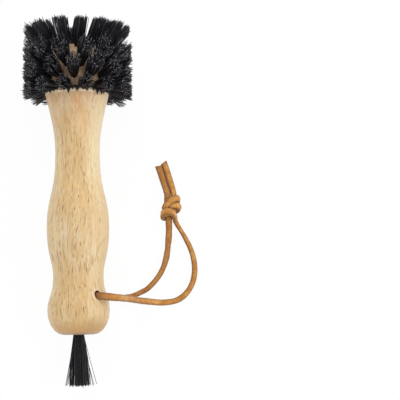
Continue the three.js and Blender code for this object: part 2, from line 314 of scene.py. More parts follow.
# Beech: colours
HONEY = (0.60, 0.405, 0.18)
STRAW = (0.70, 0.545, 0.31)
PAINTED_SHEEN = (0.67, 0.525, 0.34)
AMBER = (0.66, 0.425, 0.175)
BAND = (0.60, 0.41, 0.185)
FIBRE = (0.57, 0.385, 0.19)
STREAK = (0.54, 0.35, 0.15)
PAINTED_RIGHT_LIGHT = (0.775, 0.65, 0.41)
LEFT_REFLECTION = (0.745, 0.60, 0.36)
FINE_FLECK = (0.33, 0.135, 0.032)
BOLD_FLECK = (0.215, 0.075, 0.014)
FLARE_PINK = (0.625, 0.34, 0.15)
FLARE_PALE = (0.705, 0.515, 0.315)
WARM_BUTT_AND_SHADE = (0.51, 0.255, 0.08)
BUTT_RIGHT_SHADE = (0.40, 0.215, 0.06)
BUTT_RIM_SHADE = (0.36, 0.265, 0.185)
EDGE_HIGHLIGHT = (0.9, 0.745, 0.53)
DARK_CORE = (0.13, 0.07, 0.038)
PALE_CORE = (0.33, 0.195, 0.11)
RING = (0.30, 0.18, 0.085)
WORN_RIM_AND_HIGHLIGHT = (0.86, 0.70, 0.51)
BORE_SHADE = (0.045, 0.02, 0.008)

# A spot of the handle: in the brush's own millimetres, unrolled, and how far right and how far along it is
Places = namedtuple("Places", "own unrolled rightward along")


def brush_places(tree):
    mapping = tree.nodes.new("ShaderNodeMapping")
    mapping.vector_type = "TEXTURE"
    mapping.inputs["Location"].default_value = BUTT_PLACE
    mapping.inputs["Rotation"].default_value = (LIE, 0, 0)
    mapping.inputs["Scale"].default_value = (MM, MM, MM)
    tree.links.new(object_place(tree), mapping.inputs["Vector"])
    own = mapping.outputs["Vector"]
    x, along, z = separate(tree, own)
    round_handle = product(tree, calc(tree, "ARCTAN2", x, z), UNROLL_RADIUS)
    square = calc(tree, "ADD", product(tree, x, x), product(tree, z, z))
    radius = calc(tree, "MAXIMUM", calc(tree, "SQRT", square), LEAST_RADIUS)
    rightward = calc(tree, "DIVIDE", x, radius)
    drift = product(tree, plain_noise(tree, own, 0.035), GRAIN_DRIFT)
    stagger = product(tree, plain_noise(tree, stretched(tree, own, 0.5, 0.03), 1.0), FLECK_STAGGER)
    unrolled = tree.nodes.new("ShaderNodeCombineXYZ")
    tree.links.new(calc(tree, "ADD", round_handle, drift), unrolled.inputs["X"])
    tree.links.new(calc(tree, "ADD", along, stagger), unrolled.inputs["Y"])
    return Places(own, unrolled.outputs["Vector"], rightward, along)


def add_flecks(tree, unrolled, across, lengthwise, shift, share):
    """Short dark rays: stretched cells of which only some carry a fleck."""
    place = vector_calc(tree, "MULTIPLY", unrolled, (across, lengthwise, 1))
    cells = tree.nodes.new("ShaderNodeTexVoronoi")
    cells.voronoi_dimensions = "2D"
    cells.inputs["Scale"].default_value = 1.0
    tree.links.new(vector_calc(tree, "ADD", place, (shift, shift, 0)), cells.inputs["Vector"])
    apart = tree.nodes.new("ShaderNodeSeparateColor")
    tree.links.new(cells.outputs["Color"], apart.inputs["Color"])
    length = product(tree, apart.outputs["Green"], FLECK_REACH)
    inside = calc(tree, "SUBTRACT", length, cells.outputs["Distance"])
    chosen = ramp(tree, apart.outputs["Red"], 1 - share, 1 - share / 3)
    return product(tree, ramp(tree, inside, -0.01, 0.06), chosen)


def growth_rings(tree, own):
    """Distance from the heart of the tree, which lay beside the blank, for the rings on the end grain."""
    flat = vector_calc(tree, "MULTIPLY", own, (1, 0, 1))
    away = vector_calc(tree, "SUBTRACT", flat, HEART_OF_TREE)
    place = tree.nodes.new("ShaderNodeCombineXYZ")
    tree.links.new(vector_calc(tree, "LENGTH", away), place.inputs["X"])
    return place.outputs["Vector"]


def distance_from_hole(tree, own):
    """How far the surface lies from the line of the cross hole."""
    start = vector_calc(tree, "SUBTRACT", own, (0, CROSS_HOLE_HEIGHT, 0))
    return vector_calc(tree, "LENGTH", vector_calc(tree, "CROSS_PRODUCT", start, CROSS_HOLE_LINE))


def long_grain(tree, at):
    """Long soft bands, cloudy pale patches of painted sheen, fibre and darker streaks, and the masks that
    later tints follow.
    """
    wood, broad = add_mottle(tree, stretched(tree, at.own, 0.12, 0.03), HONEY, STRAW, 0.35, 0.65)
    # Cloudy pale patches of painted sheen, standing in for soft reflections on the oiled wood
    wood, _ = add_mottle(tree, stretched(tree, at.own, 0.07, 0.035), wood, PAINTED_SHEEN, 0.5, 0.8)
    wood, _ = add_mottle(tree, stretched(tree, at.own, 0.06, 0.04), AMBER, wood, 0.3, 0.5)
    wood, bands = add_mottle(tree, stretched(tree, at.own, 0.55, 0.02), BAND, wood, 0.3, 0.6)
    wood, fibre = add_mottle(tree, stretched(tree, at.own, 2.6, 0.1), FIBRE, wood, 0.25, 0.5)
    wood, streaks = add_mottle(tree, stretched(tree, at.own, 1.1, 0.035), STREAK, wood, 0.3, 0.55)
    return wood, broad, bands, fibre, streaks


def painted_side_light(tree, at, wood):
    """Painted light on the sides: paler towards the right, where the light falls, and a painted reflection of
    the white surroundings along the left edge.
    """
    # Painted light: paler towards the right, where the light falls
    painted_right_light = product(
        tree,
        ramp(tree, at.rightward, 0.2, 0.85),
        ramp(tree, at.along, *PAINTED_RIGHT_LIGHT_RISE, 0.3, 0.7),
    )
    wood = colour_mix(tree, painted_right_light, wood, PAINTED_RIGHT_LIGHT)
    # Painted reflection along the left edge
    return colour_mix(tree, ramp(tree, at.rightward, -0.95, -0.45, 0.4, 0.0), wood, LEFT_REFLECTION)


def flecked(tree, at, wood, broad):
    """Short dark flecks, fewer on the pale side and none on the end grain, and the mask of the bold ones."""
    heart = product(
        tree,
        ramp(tree, at.rightward, 0.2, 0.8, 1.0, 0.45),
        ramp(tree, at.along, *FLECKS_START, 0.4, 1.0),
        ramp(tree, at.along, *FLECKS_END, 1.0, 0.0),
        ramp(tree, broad, 0.2, 1.0, 1.0, 0.75),
    )
    fine = product(tree, heart, add_flecks(tree, at.unrolled, 2.5, 0.25, 5.3, 0.75), 0.6)
    bold = product(tree, heart, add_flecks(tree, at.unrolled, 1.95, 0.19, 2.6, 0.55))
    wood = colour_mix(tree, fine, wood, FINE_FLECK)
    return colour_mix(tree, bold, wood, BOLD_FLECK), bold


def flushed_flare(tree, at, wood, bands):
    """Pinkish and pale patches where the handle flares to its shoulder."""
    flush = product(
        tree,
        ramp(tree, at.along, *FLARE_RISE, 0.0, 0.68),
        ramp(tree, at.rightward, 0.25, 0.9, 1.0, 0.3),
        ramp(tree, bands, 0.0, 1.0, 1.3, 0.6),
    )
    patches, _ = add_mottle(tree, stretched(tree, at.own, 0.24, 0.07), FLARE_PINK, FLARE_PALE, 0.42, 0.64)
    return colour_mix(tree, flush, wood, patches)


def shaded_butt(tree, at, wood):
    """Painted shade at the butt, which turns away from the light: warmer and darker there, partly the wood's
    own warmer colour, browner on its right, and grey on its lowest rounding.
    """
    # Warmer and darker towards the butt: partly warmer wood, partly painted shade
    wood = colour_mix(tree, ramp(tree, at.along, *BUTT_WARMTH_AND_SHADE, 0.65, 0.0), wood, WARM_BUTT_AND_SHADE)
    # Painted shade, browner, on the right of the butt
    brown = product(
        tree,
        ramp(tree, at.rightward, 0.0, 0.5),
        ramp(tree, at.along, *BUTT_SHADE, 0.55, 0.0),
    )
    wood = colour_mix(tree, brown, wood, BUTT_RIGHT_SHADE)
    # Painted shade, greyer, on the lowest rounding of the butt
    return colour_mix(tree, ramp(tree, at.along, *BUTT_RIM, 0.8, 0.0), wood, BUTT_RIM_SHADE)


def highlighted_shoulder(tree, at, wood, streaks):
    """A painted highlight along the edge of the shoulder, broken by the streaks."""
    # Painted highlight on the edge of the shoulder
    edge = product(
        tree,
        ramp(tree, at.along, *EDGE_BELOW),
        ramp(tree, at.along, *EDGE_ABOVE, 0.95, 0.0),
        ramp(tree, streaks, 0.1, 0.9, 0.2, 1.0),
    )
    return colour_mix(tree, edge, wood, EDGE_HIGHLIGHT)


def drilled_core(tree, at, wood):
    """Painted shade of the bristles on the drilled core, mottled and lighter further up, and the rings on its
    end grain.
    """
    # Mottled colours of the painted shade between the tufts
    shade_colour, _ = add_mottle(tree, stretched(tree, at.own, 0.9, 0.45), DARK_CORE, PALE_CORE, 0.3, 0.7)
    shade = product(
        tree,
        ramp(tree, at.along, *CORE_SHADE),
        ramp(tree, at.along, *CORE_LIGHT, 0.85, 0.5),
    )
    wood = colour_mix(tree, shade, wood, shade_colour)
    rings = stretched(tree, growth_rings(tree, at.own), 0.75, 1)
    ringed, _ = add_mottle(tree, rings, RING, wood, 0.3, 0.62)
    return colour_mix(tree, ramp(tree, at.along, *END_GRAIN, 0.0, 0.8), wood, ringed)


def hole_highlight_and_shade(tree, at, wood, streaks):
    """The cross hole: a pale worn rim with a painted highlight, broken by the streaks, and painted shade on
    its wall.
    """
    from_hole = distance_from_hole(tree, at.own)
    # Pale worn rim with a painted highlight, broken by the streaks
    worn = product(
        tree,
        ramp(tree, streaks, 0.1, 0.9, 0.15, 1.0),
        ramp(tree, from_hole, *HOLE_RIM, 0.42, 0.0),
    )
    wood = colour_mix(tree, worn, wood, WORN_RIM_AND_HIGHLIGHT)
    # Painted shade on the wall of the hole
    return colour_mix(tree, ramp(tree, from_hole, *HOLE_WALL, 0.95, 0.0), wood, BORE_SHADE)


def oiled_beech():
    material, tree, shader = new_material("oiled_beech")
    at = brush_places(tree)
    wood, broad, bands, fibre, streaks = long_grain(tree, at)
    wood = painted_side_light(tree, at, wood)
    wood, bold = flecked(tree, at, wood, broad)
    wood = flushed_flare(tree, at, wood, bands)
    wood = shaded_butt(tree, at, wood)
    wood = highlighted_shoulder(tree, at, wood, streaks)
    wood = drilled_core(tree, at, wood)
    wood = hole_highlight_and_shade(tree, at, wood, streaks)
    tree.links.new(wood, shader.inputs["Base Color"])
    tree.links.new(ramp(tree, fibre, 0, 1, 0.56, 0.46), shader.inputs["Roughness"])
    bump(tree, shader, calc(tree, "SUBTRACT", fibre, bold), 0.06 * MM, 0.5)
    shader.inputs["Coat Weight"].default_value = 0.2
    shader.inputs["Coat Roughness"].default_value = 0.35
    return material


# Bristle: colours, and dust spots to a metre
JET = (0.0105, 0.0098, 0.0132)
SOOT = (0.028, 0.026, 0.033)
PALE_STRAND = (0.18, 0.176, 0.178)
CUT_BRISTLE = (0.305, 0.31, 0.345)
DUST_SPOTS = 900


def black_bristle():
    """Black strands, of which the palest go grey towards their tips and show light cut ends."""
    material, tree, shader = new_material("black_bristle")
    dusted = stretched(tree, object_place(tree), DUST_SPOTS, DUST_SPOTS)
    black, dust = add_mottle(tree, dusted, JET, SOOT, 0.35, 0.7)
    tone, reach = noted_on(tree, "strand")
    greyed = product(tree, ramp(tree, tone, 0.7, 1.0), ramp(tree, reach, 0.35, 0.8, 0.3, 1.0))
    black = colour_mix(tree, greyed, black, PALE_STRAND)
    cut_end = product(tree, ramp(tree, reach, 0.86, 0.98, 0.0, 0.9), ramp(tree, tone, 0.35, 0.8, 0.05, 1.0))
    black = colour_mix(tree, cut_end, black, CUT_BRISTLE)
    tree.links.new(black, shader.inputs["Base Color"])
    tree.links.new(ramp(tree, tone, 0, 1, 0.65, 0.35), shader.inputs["Roughness"])
    bump(tree, shader, dust, 0.04 * MM, 0.4)
    shader.inputs["Specular IOR Level"].default_value = 0.35
    return material


# Suede: colours, and worn patches and tufts of nap to a metre
WORN_DARK = (0.47, 0.195, 0.034)
WORN_PALE = (0.695, 0.37, 0.1)
NAP_SHADE = (0.40, 0.155, 0.027)
EDGE_COLOUR_AND_SHADE = (0.25, 0.105, 0.024)
DARK_ENDS_AND_SHADE = (0.225, 0.078, 0.02)
WORN_PATCHES = 260
NAP_TUFTS = 1400


def tan_suede():
    """Napped suede, darker on the edges of the strip, partly their own colour and partly painted shade of its
    rounding; darker at its cut ends and by a set amount on each side of the loop, and in painted shade where
    its runs start in the hole and under the handle.
    """
    material, tree, shader = new_material("tan_suede")
    place = object_place(tree)
    patched = stretched(tree, place, WORN_PATCHES, WORN_PATCHES)
    suede, _ = add_mottle(tree, patched, WORN_DARK, WORN_PALE, 0.3, 0.7)
    napped = stretched(tree, place, NAP_TUFTS, NAP_TUFTS)
    suede, nap = add_mottle(tree, napped, NAP_SHADE, suede, 0.26, 0.58)
    round_strip, paleness = noted_on(tree, "lace")
    half_round = calc(tree, "FRACT", product(tree, round_strip, 2))
    from_middle = calc(tree, "ABSOLUTE", calc(tree, "SUBTRACT", half_round, 0.5))
    # Darker edges: partly the cut edges' own colour, partly painted shade of the strip's rounding
    suede = colour_mix(tree, ramp(tree, from_middle, 0.05, 0.28, 0.0, 0.85), suede, EDGE_COLOUR_AND_SHADE)
    # Darker at the cut ends and by each side's set amount, and in painted shade where a run starts in the
    # hole and under the handle
    suede = colour_mix(tree, ramp(tree, paleness, 0.0, 1.0, 0.7, 0.0), suede, DARK_ENDS_AND_SHADE)
    tree.links.new(suede, shader.inputs["Base Color"])
    tree.links.new(ramp(tree, nap, 0, 1, 0.98, 0.86), shader.inputs["Roughness"])
    shader.inputs["Sheen Weight"].default_value = 0.2
    shader.inputs["Sheen Roughness"].default_value = 0.6
    shader.inputs["Specular IOR Level"].default_value = 0.2
    bump(tree, shader, nap, 0.18 * MM, 0.7)
    return material


BEECH = oiled_beech()
BRISTLE = black_bristle()
SUEDE = tan_suede()


# Camera

camera_data = bpy.data.cameras.new("camera")
camera_data.lens = CAMERA_LENS
camera_data.sensor_width = CAMERA_SENSOR
camera_data.clip_start = CAMERA_NEAR
camera = bpy.data.objects.new("camera", camera_data)
bpy.context.scene.collection.objects.link(camera)
forward = (CAMERA_AIM - CAMERA_PLACE).normalized()
right = forward.cross(Vector((math.sin(CAMERA_ROLL), math.cos(CAMERA_ROLL), 0))).normalized()
camera_up = right.cross(forward)
turned = Matrix((right, camera_up, -forward)).transposed().to_4x4()
camera.matrix_world = Matrix.Translation(CAMERA_PLACE) @ turned
bpy.context.scene.camera = camera


# Suede lace: the routes of the solids, repeated in metres

UNDER_HANDLE = [
    (-0.0099, -0.0424, 0.0048),
    (-0.0099, -0.0418, 0.0035),
    (-0.0092, -0.0410, 0.0023),
    (-0.0077, -0.0399, 0.0016),
    (-0.0050, -0.0387, 0.0015),
    (-0.0020, -0.0380, 0.0015),
    (0.0015, -0.0381, 0.0015),
    (0.0050, -0.0392, 0.0015),
    (0.0082, -0.0409, 0.0015),
]
FRONT_RUN = [
    (0.0138, -0.0459, 0.0271),
    (0.0168, -0.0462, 0.0263),
    (0.0190, -0.0461, 0.0241),
    (0.0207, -0.0459, 0.0211),
    (0.0224, -0.0456, 0.0178),
    (0.0244, -0.0454, 0.0142),
    (0.0270, -0.0454, 0.0104),
    (0.0302, -0.0455, 0.0072),
    (0.0342, -0.0456, 0.0045),
    (0.0384, -0.0458, 0.0026),
    (0.0420, -0.0456, 0.0017),
    (0.0459, -0.0450, 0.0015),
    (0.0494, -0.0433, 0.0015),
    (0.0524, -0.0403, 0.0015),
    (0.0546, -0.0365, 0.0015),
    (0.0557, -0.0323, 0.0015),
    (0.0559, -0.0278, 0.0015),
    (0.0552, -0.0230, 0.0015),
    (0.0537, -0.0184, 0.0015),
    (0.0515, -0.0138, 0.0016),
    (0.0491, -0.0098, 0.0023),
    (0.0474, -0.0070, 0.0031),
    (0.0468, -0.0051, 0.0035),
]
BACK_RUN = [
    (0.0085, -0.0411, 0.0015),
    (0.0115, -0.0420, 0.0015),
    (0.0147, -0.0428, 0.0015),
    (0.0185, -0.0431, 0.0015),
    (0.0225, -0.0428, 0.0015),
    (0.0262, -0.0420, 0.0015),
    (0.0296, -0.0406, 0.0015),
    (0.0330, -0.0387, 0.0015),
    (0.0372, -0.0344, 0.0015),
    (0.0401, -0.0299, 0.0015),
    (0.0418, -0.0254, 0.0015),
    (0.0428, -0.0206, 0.0015),
    (0.0435, -0.0152, 0.0016),
    (0.0438, -0.0108, 0.0022),
    (0.0438, -0.0076, 0.0031),
    (0.0437, -0.0053, 0.0035),
]
LEFT_TAIL = [
    (0.04325, 0.0068, 0.0040),
    (0.0428, 0.0092, 0.0034),
    (0.04205, 0.0122, 0.0023),
    (0.0411, 0.0159, 0.0016),
    (0.04015, 0.0191, 0.0015),
    (0.03935, 0.0217, 0.0015),
]
RIGHT_TAIL = [
    (0.0463, 0.0071, 0.0040),
    (0.04585, 0.0096, 0.0034),
    (0.0450, 0.0131, 0.0023),
    (0.04405, 0.0171, 0.0016),
    (0.0430, 0.0206, 0.0015),
    (0.0419, 0.0240, 0.0015),
]

# Where the two runs go on through the knot, in metres
FRONT_IN_KNOT = (0.0462, 0.0008, 0.0038)
BACK_IN_KNOT = (0.0432, 0.0008, 0.0038)

# Points of the lace in its hole, in millimetres from the handle's axis
IN_HOLE_REACHES = (MOUTH_REACH - 1.5, 6.0, 0.0, -4.5, -9.3, -12.3)
IN_MOUTH_REACHES = (MOUTH_REACH - 1.2, MOUTH_REACH + 1.4)

# The lace is drawn against one side of the mouth, in millimetres
DRAWN = (0.28, -0.45, -0.28)

# The strip turns as it runs, so it shows its broad face in some places and its edge in others
FRONT_TWIST = (1.22, 1.1, 1.05, 1.0, 0.95, 0.92, 0.85, 0.66, 0.75, 1.03, 1.06)
BACK_TWIST = (0.8, 0.78, 0.8, 0.88, 0.95, 1.05, 1.03, 1.03, 1.06)

# How pale each side of the loop is set, and the rings over which it darkens: in painted shade from its start
# in the hole and under the handle, and towards its cut end
FRONT_PALENESS = 0.66
BACK_PALENESS = 0.36
FRONT_FADE = 22
START_FADE = 8
CUT_FADE = 6

# Spacing of the rings along the lace and along the tighter knot, in metres
PATH_STEP = 0.0006
KNOT_STEP = 0.0004

# Steps of a curve between two points of its route
CURVE_STEPS = 12

# How round the corners of the strip are, and how far its cut ends are out of true, in metres
CORNER_POWER = 0.6
CUT_DEPTH = 0.9 * MM

# The waves that its section wavers by: their number, pitch, start and size
WAVES = 4
WAVE_PITCHES = (0.8, 1.6)
WAVE_STARTS = (0, 6.3)
WAVE_SIZES = (0.02, 0.05)


def in_cross_hole(reach, pulled=(0, 0, 0)):
    return on_brush(CROSS_HOLE_LINE * reach + Vector((0, CROSS_HOLE_HEIGHT, 0)) + Vector(pulled))


def smooth_path(points, step=PATH_STEP):
    """A curve through the points, with even spacing."""
    points = [Vector(p) for p in points]
    padded = [2 * points[0] - points[1], *points, 2 * points[-1] - points[-2]]
    dense = []
    for a, b, c, d in zip(padded, padded[1:], padded[2:], padded[3:]):
        for i in range(CURVE_STEPS):
            t = i / CURVE_STEPS
            twice = 2 * b + (c - a) * t
            twice += (2 * a - 5 * b + 4 * c - d) * t**2
            twice += (3 * b - a - 3 * c + d) * t**3
            dense.append(0.5 * twice)
    dense.append(points[-1])
    walked = [0.0]
    for a, b in zip(dense, dense[1:]):
        walked.append(walked[-1] + (b - a).length)
    count = max(2, round(walked[-1] / step))
    even = []
    place = 0
    for i in range(count + 1):
        target = walked[-1] * i / count
        while place < len(walked) - 2 and walked[place + 1] < target:
            place += 1
        share = (target - walked[place]) / max(walked[place + 1] - walked[place], 1e-9)
        even.append(dense[place].lerp(dense[place + 1], min(share, 1.0)))
    return even


def path_length(path):
    return sum((b - a).length for a, b in zip(path, path[1:]))


def ways_along(path):
    """Each point of a path with the ways ahead, across and above there, and how far along it lies."""
    last = len(path) - 1
    across = (path[1] - path[0]).normalized().cross(Vector((0, 0, 1))).normalized()
    travelled = 0.0
    for i, point in enumerate(path):
        ahead = (path[min(i + 1, last)] - path[max(i - 1, 0)]).normalized()
        across = (across - ahead * across.dot(ahead)).normalized()
        if i > 0:
            travelled += (point - path[i - 1]).length
        yield point, ahead, across, across.cross(ahead), travelled


def read_off(values, share):
    """A value between those of an evenly spaced list, at a share of the whole way."""
    place = share * (len(values) - 1)
    before = min(int(place), len(values) - 2)
    return values[before] + (values[before + 1] - values[before]) * (place - before)


def squared(side):
    """A circle's sine or cosine, moved out for a section that is nearly square."""
    return abs(side) ** CORNER_POWER * math.copysign(1, side)


def straight_cut(across):
    return 0.0


def notched_cut(across):
    return (abs(across) - 0.4) * CUT_DEPTH


def slanted_cut(across):
    return (0.5 * across - 0.3 * abs(across - 0.3)) * CUT_DEPTH


def lace_tube(
    name,
    path,
    seed,
    width=LACE_WIDTH,
    thickness=LACE_THICKNESS,
    cut=straight_cut,
    twist=(1.0, 1.0),
    start_fade=START_FADE,
    paleness=1.0,
):
    """A strip of suede along a path: a rounded oblong section that wavers a little, with a cut far end."""
    rng = random.Random(seed)
    waves = []
    for _ in range(WAVES):
        waves.append((rng.uniform(*WAVE_PITCHES), rng.uniform(*WAVE_STARTS), rng.uniform(*WAVE_SIZES)))
    vertices = []
    notes = []
    total = path_length(path)
    last = len(path) - 1
    for i, (point, ahead, across, above, travelled) in enumerate(ways_along(path)):
        shown = read_off(twist, travelled / total)
        waver = sum(size * math.sin(pitch * travelled / (2 * MM) + start) for pitch, start, size in waves)
        # Darker in painted shade from the start, towards the cut end, and by the set paleness
        whole = min(i / start_fade, (last - i) / CUT_FADE, paleness) if start_fade else paleness
        for k in range(LACE_SIDES):
            angle = 2 * math.pi * k / LACE_SIDES
            flat = squared(math.cos(angle))
            tall = squared(math.sin(angle))
            rough = 1 + waver * (0.6 + 0.4 * math.cos(angle + travelled / MM))
            place = point + across * (flat * width / 2 * rough * shown)
            place += above * (tall * thickness / 2 * rough)
            if i == last:
                place += ahead * cut(flat)
            vertices.append(place)
            notes.append((k / LACE_SIDES, whole))
    shape = (vertices, tube_faces(len(path), LACE_SIDES), notes)
    return piece_of(name, shape, SUEDE, "lace")


front_start = [in_cross_hole(reach, DRAWN) for reach in IN_MOUTH_REACHES]
front_path = smooth_path([*front_start, *FRONT_RUN, FRONT_IN_KNOT, *RIGHT_TAIL])
back_path = smooth_path([*BACK_RUN, BACK_IN_KNOT, *LEFT_TAIL])
held_path = smooth_path([in_cross_hole(reach) for reach in IN_HOLE_REACHES] + UNDER_HANDLE)

front_lace = lace_tube(
    "lace_front",
    front_path,
    seed=3,
    cut=slanted_cut,
    twist=FRONT_TWIST,
    start_fade=FRONT_FADE,
    paleness=FRONT_PALENESS,
)
back_lace = lace_tube(
    "lace_back",
    back_path,
    seed=5,
    cut=notched_cut,
    twist=BACK_TWIST,
    paleness=BACK_PALENESS,
)
held_lace = lace_tube("lace_in_handle", held_path, seed=7, width=HELD_WIDTH)

# The knot: bands of the doubled lace, drawn over each other, in millimetres from its middle on the table
KNOT_MIDDLE = Vector((44.7, 0.8, 0))
LOWER_WRAP = [
    (0.6, -3.6, 1.4),
    (-2.0, -4.5, 1.7),
    (-3.8, -4.3, 3.2),
    (-3.7, -3.5, 5.0),
    (-2.2, -2.9, 6.2),
    (-0.4, -3.0, 6.7),
    (1.0, -3.6, 6.4),
    (1.7, -4.8, 5.4),
    (2.0, -6.0, 4.4),
    (2.3, -7.2, 3.5),
]
MIDDLE_WRAP = [
    (-0.8, -0.5, 3.6),
    (0.5, 0.0, 5.6),
    (2.1, 0.3, 6.5),
    (3.6, 0.1, 5.7),
    (4.1, -0.7, 3.9),
    (3.3, -1.6, 2.2),
    (1.6, -1.8, 1.5),
    (-0.6, -1.2, 1.5),
    (-2.2, -0.4, 2.2),
]
UPPER_WRAP = [
    (-2.7, -0.6, 3.4),
    (-2.1, 0.6, 5.5),
    (-0.7, 2.0, 6.6),
    (1.2, 3.3, 6.8),
    (3.0, 3.9, 5.8),
    (3.8, 3.3, 4.0),
    (3.0, 2.3, 2.2),
    (1.2, 1.7, 1.5),
    (-1.2, 1.0, 1.7),
]

# The wraps with their widths, and how much of that width shows along them
KNOT_WRAPS = [
    (LOWER_WRAP, 4.4, (0.9, 0.95, 1.0, 0.8, 0.5)),
    (MIDDLE_WRAP, 2.9, (1.0, 1.0)),
    (UPPER_WRAP, 3.4, (1.0, 1.0)),
]


def knot_bands():
    bands = []
    for place, (points, width, twist) in enumerate(KNOT_WRAPS):
        path = smooth_path([(KNOT_MIDDLE + Vector(p)) * MM for p in points], KNOT_STEP)
        band = lace_tube(
            f"lace_knot_wrap_{place + 1}",
            path,
            seed=11 + place,
            width=width * MM,
            thickness=KNOT_THICKNESS,
            twist=twist,
            start_fade=0,
        )
        bands.append(band)
    return bands


knot = knot_bands()
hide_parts("lace_front_run", "lace_right_tail")
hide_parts("lace_back_run", "lace_left_tail")
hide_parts("lace_through_handle")
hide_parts("lace_knot")


# Bristles

# How unruly the strands are: clumping, splay, lean and tone as shares, sway and trim in millimetres
CLUMPING = (0.1, 0.75)
SPLAY_SPREAD = (0.85, 1.15)
STRAND_LEAN = 0.018
PALEST_TONE = 0.9
TUFT_SWAY = 0.25
STRAND_SWAY = 0.2
TRIM_SPREAD = (-0.1, 0.38)

# How far strands and clumps are turned from their even places, in radians
STRAND_JITTER = 0.3
CLUMP_JITTER = 0.5

# How far the strands stay off the table, in metres
TABLE_GAP = 0.2 * MM

# Where along its free length a strand of the head is bent, and the power that draws its bulge to the wood
BENDS = (0.3, 0.65, 0.95, 1.0)
BULGE_POWER = 0.6

# Rows from the shoulder to the end: setback in millimetres, lean and turn in degrees, splay and fill
ROWS = [
    {"setback": 2.3, "lean": -4, "turn": -2, "splay": 0.22, "fill": 0.2},
    {"setback": 7.3, "lean": 16, "turn": -4, "splay": 0.25, "fill": 0.2},
    {"setback": 12.9, "lean": 32, "turn": -4, "splay": 0.23, "fill": 0.2},
    {"setback": None, "lean": 51, "turn": 4, "splay": 0.17, "fill": 0.9},
]
SHOULDER_ROW = 0
END_ROW = 3

# Tufts that stand a little out of their row: row and place, push sideways and lengthwise, own splay
PUSHED_TUFTS = {
    (0, 4): (3.6, 0.5, 0.36),
    (0, 5): (0.0, 1.0, 0.22),
    (0, 8): (1.5, 1.7, 0.26),
    (0, 9): (-3.0, -0.1, 0.24),
    (1, 0): (0.7, 1.6, 0.17),
    (1, 1): (0.4, 2.3, 0.25),
    (1, 13): (1.1, 0.8, 0.26),
    (2, 0): (1.0, 0.0, 0.17),
    (2, 1): (-1.8, -0.3, 0.27),
    (2, 10): (0.0, 0.0, 0.33),
    (2, 11): (0.0, 0.0, 0.33),
    (2, 13): (-0.5, -0.4, 0.23),
    (3, 0): (1.0, 0.0, 0.09),
    (3, 1): (0.7, 0.0, 0.13),
    (3, 11): (0.0, 0.0, 0.22),
    (3, 12): (0.9, 0.0, 0.18),
    (3, 13): (1.3, 0.0, 0.14),
}

# The tuft in the middle of the end face
MIDDLE_TUFT_HEADING = Vector((0.001, 1, 0.001)).normalized()
MIDDLE_TUFT_SPLAY = 0.22
MIDDLE_TUFT_FILL = 0.2
MIDDLE_TUFT_PUSH = Vector((-1.3, 0, 0))

# Points of bristle that droop over the shoulder, in millimetres; their fan, taper, slant and tone are shares
DROOP_STEPS = (-1, 0, 1)
DROOP_PITCH = 2.3
DROOP_JITTER = 0.5
DROOP_DEPTHS = (0.2, 2.3)
DROOP_WIDTHS = (0.8, 1.25)
DROOP_ROOT = (CORE_RADIUS - 0.1, SHOULDER + 1.8)
DROOP_CREST = (CORE_RADIUS + 1.2, SHOULDER + 0.9)
DROOP_TIPS = (CORE_RADIUS + 0.4, CORE_RADIUS + 0.8)
DROOP_FAN = (-1.0, -0.7, -0.4, -0.15, 0.15, 0.4, 0.7, 1.0)
DROOP_TAPER = 0.4
DROOP_SLANT = 1.2
DROOP_RADII = (0.26, 0.16)
DROOP_TONE = 0.6

# Strands of the butt tuft: swell, trim and strays in millimetres, spread of the flare and tones as shares
BUTT_FLARE_SPREAD = (0.9, 1.1)
BUTT_SWELL = 0.35
BUTT_TRIM_SPREAD = 0.35
STRAY_ROOT = 2.2
STRAY_ROOT_HEIGHTS = (-1, 1)
STRAY_TIP_HEIGHTS = (-1, 3)
STRAYS_RIGHT = (5.4, 8.5)
STRAYS_LEFT = (5.3, 6.9)
STRAY_BOW = 0.8
CUT_SHARE = 0.05
PALE_BUTT_SHARE = 0.09
BUTT_TONE = 0.4


def add_strand(shape, path, radii, tone):
    """A three-sided filament along a few points, with its tone noted for the finish."""
    vertices, faces, notes = shape
    ahead = (path[-1] - path[0]).normalized()
    across = ahead.orthogonal().normalized()
    above = ahead.cross(across)
    root_radius, tip_radius = radii
    last = len(path) - 1
    faces.extend(tube_faces(len(path), STRAND_SIDES, len(vertices)))
    for i, point in enumerate(path):
        radius = root_radius + (tip_radius - root_radius) * i / last
        for k in range(STRAND_SIDES):
            angle = 2 * math.pi * k / STRAND_SIDES
            vertices.append(on_brush(point + (across * math.cos(angle) + above * math.sin(angle)) * radius))
            notes.append((tone, i / last))


def bristle_piece(name, shape, node):
    piece = piece_of(name, shape, BRISTLE, "strand")
    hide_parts(node)


def keep_above_table(path):
    for point in path:
        lift = TABLE_GAP - on_brush(point).z
        if lift > 0:
            point.z += lift / MM


def trimmed_length(start, heading):
    """How far a strand runs before the trimmed drum or the trimmed top."""
    side = start.x - TRIM_OFFSET
    across = heading.x**2 + heading.z**2
    outward = side * heading.x + start.z * heading.z
    inside = TRIM_RADIUS**2 - side**2 - start.z**2
    to_side = (math.sqrt(outward**2 + across * inside) - outward) / across
    to_top = (TRIM_TOP - start.y) / heading.y if heading.y > 0.01 else math.inf
    return min(to_side, to_top)


def on_disc(i, count, turn=0.0):
    """One of a number of spots that are spread evenly over a disc."""
    reach = math.sqrt((i + 0.5) / count)
    angle = i * GOLDEN_ANGLE + turn
    return reach * math.cos(angle), reach * math.sin(angle)


def clump_spots(count, rng):
    """Where the tips of a tuft gather: a few spots spread over a disc."""
    return [on_disc(i, count, rng.uniform(-CLUMP_JITTER, CLUMP_JITTER)) for i in range(count)]


def gathered(x, y, spots, drawn):
    """A tip drawn some of the way to the nearest of the spots."""
    spot = min(spots, key=lambda s: (s[0] - x) ** 2 + (s[1] - y) ** 2)
    return x + (spot[0] - x) * drawn, y + (spot[1] - y) * drawn


